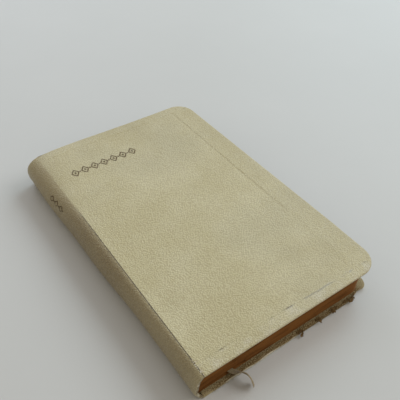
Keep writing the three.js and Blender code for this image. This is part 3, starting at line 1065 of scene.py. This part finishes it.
def folio(low, high, thickness, fold_x, chance):
    """A folded sheet of leaves, its cut edges a little out of line with its neighbours'."""
    rows = mirrored_rows(LEAF_HALF_Y, GATHERING_OFFSETS, 14)
    slip = chance.uniform(-SLIP, SLIP)
    hollow = FORE_HOLLOW * (1 - ((low + high) / 2 - MIDDLE_Z) ** 2 / MIDDLE_Z**2)

    def fore_x(y):
        return fore_edge(y, LEAF_FORE_X, LEAF_HALF_Y, LEAF_CORNER) + slip - hollow

    depth = 0.5 * (high - low) + 0.1
    outer = folded_surface(low, high, fold_x, fore_x, rows, depth)
    inner = folded_surface(low + thickness, high - thickness, fold_x + thickness, fore_x, rows, depth)
    stretch = 1 + chance.uniform(-0.0004, 0.0003)
    for surface in (outer, inner):
        wave = 0.05 * hills(surface[..., 0], surface[..., 2] * 9, 25.0, 3.0)
        end = smooth(np.abs(surface[..., 1]), LEAF_HALF_Y - 12, LEAF_HALF_Y)
        surface[..., 1] = surface[..., 1] * stretch + end * wave
        tail = smooth(-surface[..., 1], LEAF_HALF_Y - 9, LEAF_HALF_Y)
        surface[..., 1] += tail * tail_gap(surface[..., 0], surface[..., 2])
    points, faces, marks = closed_shell(outer, inner)
    return points, faces, stain_creeps(marks, len(rows) - 1)


def block_wear_and_shade(points):
    """The edges are rubbed at the round corners. Painted shade darkens them low down, most towards the
    spine, and inside the gap at the tail where the lowest leaves stop short.
    """
    x, y, z = points.T
    corner_x = LEAF_FORE_X - LEAF_CORNER
    corner_y = LEAF_HALF_Y - LEAF_CORNER
    reach = np.hypot(np.maximum(x - corner_x, 0), np.maximum(np.abs(y) - corner_y, 0))
    corner = smooth(reach, LEAF_CORNER - 0.8, LEAF_CORNER) * smooth(x, corner_x, corner_x + 4)
    corner = corner * smooth(np.abs(y), corner_y - 3, corner_y)
    # painted shade on the lower leaves' edges, deepest towards the spine
    low = 0.25 * smooth(MIDDLE_Z - z, 1, 5) + 0.40 * smooth(MIDDLE_Z - z, -2, 5) * smooth(-x, 5, 30)
    # painted shade inside the gap at the tail
    gap = (y < 0) * smooth(tail_gap(x, z), 0.2, 2.0)
    return {"rubbed": 0.85 * corner, "dirt": np.clip(low + gap, 0, 1)}


def gathering(number, paper, stain, chance):
    name = f"gathering_{number:02d}"
    low, high = box_mm(name)
    pitch = (high[2] - low[2]) / (2 * FOLIOS)
    shells = []
    for nest in range(FOLIOS):
        inset = nest * pitch
        shells.append(folio(low[2] + inset, high[2] - inset, pitch * 0.9, low[0] + inset * 1.1, chance))
    points, faces, marks = joined(shells)
    piece = make_piece(
        name + "_folios", points, faces, [paper, stain], block_wear_and_shade(points), marks
    )
    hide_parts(name)
    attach(piece, "back_half" if high[2] < MIDDLE_Z else "front_half")


# ---- The middle fold and its stitches ----

STITCHES = 9
STITCH_RADIUS = 0.12
STITCH_DIVE = 0.28
STITCH_SHARE = 0.88  # the share of the pitch that a stitch takes
FOLD_BAND = 0.25
FOLD_DEPTH = 0.3
FOLD_ARM = 0.55  # how far the fold's paper runs on into the leaves
FOLD_PAPER = 0.05


def bend_at_fold(piece):
    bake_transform(piece)


def centre_fold(paper):
    """The fold of the middle sheet."""
    rows = mirrored_rows(LEAF_HALF_Y - 0.4, [0, 0.5, 2.0], 40)
    y, turn = np.meshgrid(rows, np.radians(np.linspace(-90, 90, 13)), indexing="ij")
    start = THREAD_LOW[0] + 0.18
    arm = np.array([FOLD_ARM, 0, 0])

    def face(depth):
        x = start - (FOLD_DEPTH - depth) * np.cos(turn)
        bow = np.stack([x, y, MIDDLE_Z + (FOLD_BAND - depth) * np.sin(turn)], -1)
        return np.concatenate([bow[:, :1] + arm, bow, bow[:, -1:] + arm], 1)

    points, faces, _ = closed_shell(face(0.0), face(FOLD_PAPER))
    tan = {"yellow": np.full(len(points), 0.5)}
    bend_at_fold(make_piece("centre_fold", points, faces, [paper], tan))


def sewing_stitches(linen):
    """The thread inside the middle fold: a row of stitches that dive into the fold at their ends."""
    low, high = THREAD_LOW[1], THREAD_HIGH[1]
    pitch = (high - low) / STITCHES
    middle_x = (THREAD_LOW[0] + THREAD_HIGH[0]) / 2
    angles = np.linspace(0, 2 * np.pi, 9)[:-1]
    share = np.linspace(0, 1, 15)[:, None]
    shells = []
    for number in range(STITCHES):
        dive = STITCH_DIVE * (2 * share - 1) ** 6
        ring_x = middle_x - dive + STITCH_RADIUS * np.cos(angles)
        ring_y = low + pitch * (number + (1 - STITCH_SHARE) / 2 + STITCH_SHARE * share) + 0 * ring_x
        ring_z = MIDDLE_Z + STITCH_RADIUS * np.sin(angles) + 0 * ring_x
        shells.append(tube(np.stack([ring_x, ring_y, ring_z], -1)))
    piece = joined_piece("sewing_stitches", shells, linen)
    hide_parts("sewing_thread")
    bend_at_fold(piece)


# ---- The ribbon marker ----

RIBBON_WIDTH = 3.0
RIBBON_THICKNESS = 0.16
RIBBON_EXIT = Vector((JOINT_X + 13.6, -LEAF_HALF_Y, 0))
RIBBON_ANCHOR = 2 * LEAF_HALF_Y - 6
RIBBON_LEAN = math.atan2(13.0, RIBBON_ANCHOR)
RIBBON_SWAY = 3.0
RIBBON_LIE_Z = 2.175
RIBBON_CREST = 3.85
RIBBON_CURL = 0.35
RIBBON_FRAY = 0.7

# the ribbon's turns in degrees, each with where it starts and ends, past the tail edge of the leaves
RIBBON_TURNS = ((-20, -4, 1), (-48, 0.5, 5), (12, 8, 10))

# the ribbon's route: how far past the tail edge of the leaves, and Z
RIBBON_ROUTE = [
    (-RIBBON_ANCHOR, RIBBON_LIE_Z),
    (-100, RIBBON_LIE_Z),
    (-70, RIBBON_LIE_Z),
    (-40, RIBBON_LIE_Z),
    (-20, RIBBON_LIE_Z),
    (-8, RIBBON_LIE_Z),
    (-2, RIBBON_LIE_Z),
    (0, RIBBON_LIE_Z + 0.05),
    (1.5, 2.6),
    (3, 3.3),
    (4.5, RIBBON_CREST - 0.05),
    (5.9, RIBBON_CREST),
    (7.2, 3.3),
    (8.2, 2.3),
    (8.8, 1.1),
]


def smooth_route(stops, spacing):
    """Points along a smooth curve through the stops, about the given distance apart."""
    stops = [Vector(stop) for stop in stops]
    padded = [2 * stops[0] - stops[1], *stops, 2 * stops[-1] - stops[-2]]
    points = []
    for before, start, end, after in zip(padded, padded[1:], padded[2:], padded[3:]):
        span = (end - start).length
        leave = (end - before).normalized() * span
        arrive = (after - start).normalized() * span
        count = max(2, math.ceil(span / spacing))
        for step in range(count):
            t = step / count
            near = (2 * t**3 - 3 * t**2 + 1) * start + (t**3 - 2 * t**2 + t) * leave
            far = (3 * t**2 - 2 * t**3) * end + (t**3 - t**2) * arrive
            points.append(near + far)
    return points + [stops[-1]]


def ribbon_point(along, z):
    """A point of the ribbon, by its distance past the tail edge of the leaves."""
    sine, cosine = math.sin(RIBBON_LEAN), math.cos(RIBBON_LEAN)
    sway = RIBBON_SWAY * smooth(along, -1, 5.5)
    x = RIBBON_EXIT.x + along * sine + sway * cosine
    return (x, RIBBON_EXIT.y - along * cosine + sway * sine, z)


def ribbon_twist(along):
    """The ribbon lies flat between the leaves and rolls on to its edge over the arch."""
    return math.radians(sum(turn * smooth(along, start, end) for turn, start, end in RIBBON_TURNS))


def ribbon_ring(point, ahead, along):
    """The ribbon's section at a point of its path, and how far across the ribbon each point is."""
    lanes = np.linspace(-1, 1, 9)
    level = ahead.cross(Vector((0, 0, 1)))
    level = level.normalized() if level.length > 0.05 else Vector((1, 0, 0))
    across = Matrix.Rotation(ribbon_twist(along), 3, ahead) @ level
    up = across.cross(ahead)
    curl = RIBBON_CURL * smooth(along, -1, 4)
    upper = []
    for lane in lanes:
        frayed = RIBBON_FRAY * noise.noise((lane * 3, 0, 2)) * smooth(along, 10.2, 10.9)
        rise = RIBBON_THICKNESS / 2 - curl * lane**2
        upper.append(point + across * (lane * RIBBON_WIDTH / 2) + up * rise + ahead * frayed)
    lower = [place - up * RIBBON_THICKNESS for place in reversed(upper)]
    return upper + lower, [*lanes, *reversed(lanes)]


def ribbon_marker(silk):
    path = smooth_route([ribbon_point(*stop) for stop in RIBBON_ROUTE], 1.5)
    rings, lengths, lanes = [], [], []
    length = 0.0
    for number, point in enumerate(path):
        before, after = path[max(number - 1, 0)], path[min(number + 1, len(path) - 1)]
        length += (point - before).length
        ring, lane = ribbon_ring(point, (after - before).normalized(), length - RIBBON_ANCHOR)
        rings.append(ring)
        lengths.append([length] * len(ring))
        lanes.append(lane)
    points, faces, _ = tube(np.array(rings, float))
    paint = {"along": np.array(lengths), "across": np.array(lanes)}
    piece = make_piece("ribbon", points, faces, [silk], paint)
    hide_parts("ribbon_marker")
    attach(piece, "back_half")


# ---- Ornament ----


def bar(start, end, width):
    """A straight bar in the plane, as a grid of points."""
    start, end = np.array(start, float), np.array(end, float)
    ahead = (end - start) / np.linalg.norm(end - start)
    side = np.array([-ahead[1], ahead[0]]) * width / 2
    spots = [start + (end - start) * share for share in np.linspace(0, 1, 5)]
    return np.array([[spot - side for spot in spots], [spot + side for spot in spots]])


def lozenge(middle, half_width, half_height):
    x, y = middle
    left, right = (x - half_width, y), (x + half_width, y)
    return np.array([[left, (x, y - half_height)], [(x, y + half_height), right]])


def open_lozenge(middle, half_width, half_height, width):
    x, y = middle
    tips = [(x - half_width, y), (x, y - half_height), (x + half_width, y), (x, y + half_height)]
    return [bar(tip, following, width) for tip, following in zip(tips, tips[1:] + tips[:1])]


INLAY_RISE = 0.035
INLAY_SINK = 0.06


def inlay(name, shapes, surface, material):
    """Flat shapes pressed on a surface. surface gives the place of a point (u, v) at some height."""
    shells = []
    for shape in shapes:
        u, v = shape[..., 0], shape[..., 1]
        shells.append(closed_shell(surface(u, v, INLAY_RISE), surface(u, v, -INLAY_SINK)))
    return joined_piece(name, shells, material, 30.0)


BAND_LEFT = -33.2
BAND_RIGHT = 1.9
BAND_Y = 48.6
BAND_COUNT = 7
# half widths and half heights, and the open lozenges' line width
BAND_LOZENGE = (1.75, 2.25, 0.62)
BAND_DOT = (0.62, 0.85)
BAND_LINK = (0.50, 0.62)
SPINE_LOZENGE = (1.5, 1.3, 0.50)
SPINE_LINK = (0.45, 0.45)
SPINE_LINK_OFFSET = 2.05
SPINE_ORNAMENT_RISE = 4.0
SPINE_ORNAMENT_PLACES = (43.2, 39.1, 35.0)


def cover_surface(u, v, height):
    x, y = limp_outline(u, v)
    return stacked(x, y, front_height(u, v) + height)


def spine_surface(u, v, height):
    """v runs up the round of the spine from its middle, and u along it."""
    return spine_place(np.arcsin(v / MIDDLE_Z), u, -height)


def cover_ornament(gilt):
    """A band of open lozenges and small solid ones, near the head of the front cover."""
    pitch = (BAND_RIGHT - BAND_LEFT) / BAND_COUNT
    shapes = []
    for number in range(BAND_COUNT):
        centre = BAND_LEFT + pitch * (number + 0.5)
        shapes += open_lozenge((centre, BAND_Y), *BAND_LOZENGE)
        shapes.append(lozenge((centre, BAND_Y), *BAND_DOT))
        if number < BAND_COUNT - 1:
            shapes.append(lozenge((centre + pitch / 2, BAND_Y), *BAND_LINK))
    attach(inlay("cover_ornament", shapes, cover_surface, gilt), "front_cover")


def spine_ornament(gilt):
    """Three worn lozenges in a row on the spine."""
    shapes = []
    for centre in SPINE_ORNAMENT_PLACES:
        shapes += open_lozenge((centre, SPINE_ORNAMENT_RISE), *SPINE_LOZENGE)
        shapes.append(lozenge((centre - SPINE_LINK_OFFSET, SPINE_ORNAMENT_RISE), *SPINE_LINK))
    mirrored = [shape[::-1] for shape in shapes]
    bend_at_spine(inlay("spine_ornament", mirrored, spine_surface, gilt))


# ---- Wear: flakes, tufts and fibres ----


FIBRE_LOWEST_Z = 0.15


def fibre(root, ahead, length, chance):
    """One loose fibre: a thin tapering tube that stays above the floor."""
    rings = []
    sway = chance.uniform(-0.1, 0.1)
    angles = np.radians([90, 210, 330])
    for share in np.linspace(0, 1, 5):
        fall = np.array([sway * share, 0, -FIBRE_DROOP * share**2])
        spot = root + ahead * (length * share) + fall * length
        spot[2] = max(spot[2], FIBRE_LOWEST_Z)
        size = FIBRE_RADIUS * (1 - 0.75 * share)
        rings.append([spot + size * np.array([math.cos(a), 0, math.sin(a)]) for a in angles])
    return tube(np.array(rings))


def fibres(name, roots, material, slot, chance):
    """A fibre at each root, pointing out past the tail edge."""
    shells = []
    for root in roots:
        ahead = np.array([chance.uniform(-0.9, 0.9), -1.0, chance.uniform(-0.2, 0.25)])
        ahead = ahead / np.linalg.norm(ahead)
        shells.append(fibre(np.array(root), ahead, chance.uniform(*FIBRE_LENGTHS), chance))
    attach(joined_piece(name, shells, material), "back_half")


def tail_edge_y(x):
    return -HALF_Y - frayed_edge(np.array([x]))[0]


FRAYED_LEFT = -36
FRAYED_SPAN = 70
FRAYED_COUNT = 200
FRAYED_CROWDING = 1.8  # above 1, the fibres crowd towards the spine
FIBRE_LENGTHS = (0.3, 0.9)
FIBRE_RADIUS = 0.055
FIBRE_DROOP = 0.35


def frayed_fibres(material, chance):
    """Pale threads of worn leather along the tail edge of the back cover."""
    roots = []
    for _ in range(FRAYED_COUNT):
        x = FRAYED_LEFT + FRAYED_SPAN * chance.random() ** FRAYED_CROWDING
        roots.append((x, tail_edge_y(x) + 0.25, chance.uniform(0.45, 1.15)))
    fibres("frayed_fibres", roots, material, "ivory_leather", chance)


FLAKES_IN_A_TUFT = 26
JOINT_FLAKES = 34

# where each tuft is along the tail edge, how wide it spreads and how far it hangs out
TUFTS = ((4.6, 0.75, 1.3), (14.6, 0.50, 0.9), (22.6, 1.10, 0.7), (31.4, 1.40, 0.7))


def flake(surface, middle, size, chance):
    """A scrap of leather that has lifted a little from the surface."""
    turns = np.radians([225, 315, 135, 45]) + chance.uniform(0, 1.5)
    reach = np.array([size * chance.uniform(0.6, 1.2) for _ in turns])
    u = (middle[0] + reach * np.cos(turns)).reshape(2, 2)
    v = (middle[1] + reach * np.sin(turns)).reshape(2, 2)
    lift = chance.uniform(0.04, 0.14) * np.array([[0, 1], [0.3, 1]])
    return closed_shell(surface(u, v, lift + 0.05), surface(u, v, lift - 0.03))


HANGING_SLOPE = 0.55


def margin_surface(u, v, height):
    """The back cover's inner margin, and the slope that scraps hang down outside its edge."""
    return stacked(u, v, COVER_DEEP - HANGING_SLOPE * np.maximum(-HALF_Y - v, 0) + height)


def dark_tufts(material, chance):
    """Torn brown scraps that hang out over the tail edge of the back cover."""
    shells = []
    for place, spread, reach in TUFTS:
        for _ in range(FLAKES_IN_A_TUFT):
            out = chance.uniform(-1.2, reach)
            spot = (chance.gauss(place, spread * (1 - 0.7 * max(out, 0) / reach)), -HALF_Y - out)
            shells.append(flake(margin_surface, spot, chance.uniform(0.25, 0.60), chance))
    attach(joined_piece("dark_tufts", shells, material, 20.0), "back_half")


def tail_flakes(material, chance):
    """Pale scraps where the tail of the front joint has worn through."""
    shells = []
    for _ in range(JOINT_FLAKES):
        spot = (JOINT_X + abs(chance.gauss(0.15, 0.7)), chance.uniform(-69.3, -62))
        shells.append(flake(cover_surface, spot, chance.uniform(0.10, 0.30), chance))
    bend_at_joint(joined_piece("worn_flakes", shells, material, 20.0))


# ---- The whole book ----


FLOOR_REACH = 20.0  # in metres
FLOOR_GAP = 0.0001


def add_floor():
    """A wide plane, just below what the book rests on."""
    mesh = bpy.data.meshes.new("floor")
    corners = [(-1, -1), (1, -1), (1, 1), (-1, 1)]
    mesh.from_pydata([(x * FLOOR_REACH, y * FLOOR_REACH, 0) for x, y in corners], [], [(0, 1, 2, 3)])
    mesh.materials.append(floor_material())
    floor = add_object("floor", mesh)
    floor.location.z = -FLOOR_GAP


def finish_boards():
    card = card_material()
    for node in ("front_cover_board", "back_cover_board"):
        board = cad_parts[node]
        board.data.materials.clear()
        board.data.materials.append(card)


def binding():
    leather = leather_material("ivory_leather", 0.42, 0.0)
    inside = leather_material("turned_in_leather", 0.05, 0.38)
    front_cover_skin([leather, inside])
    back_cover_skin([leather, inside])
    spine_skin(leather)
    finish_boards()
    spine_layer("spine_lining", brown_paper_material())
    spine_layer("spine_mull", mull_material())


def text_block(chance):
    leaf_paper = paper_material("leaf_paper", 0.5)
    stain = stained_edge_material()
    endpapers(paper_material("endpaper", 0.55), stain)
    ruled = ruled_leaf_material()
    lifting_sheet("lower_middle_leaf", ruled, stain)
    lifting_sheet("upper_middle_leaf", ruled, stain)
    for number in range(1, 13):
        gathering(number, leaf_paper, stain, chance)
    centre_fold(leaf_paper)
    sewing_stitches(thread_material())


def ornament_and_wear(chance):
    gilt = gilt_material()
    cover_ornament(gilt)
    spine_ornament(gilt)
    frayed_fibres(fibre_material("pale_fibre", (0.30, 0.24, 0.13), (0.50, 0.44, 0.30), 0.1), chance)
    tail_flakes(fibre_material("pale_flake", (0.55, 0.48, 0.34), (0.78, 0.74, 0.64), 0.2), chance)
    dark_tufts(fibre_material("dark_fibre", (0.085, 0.050, 0.018), (0.175, 0.112, 0.045), 0.0), chance)


chance = random.Random(12)
add_camera()
add_lights()
add_floor()
ribbon_marker(ribbon_material())
binding()
text_block(chance)
ornament_and_wear(chance)
bpy.context.scene.view_settings.view_transform = "Standard"
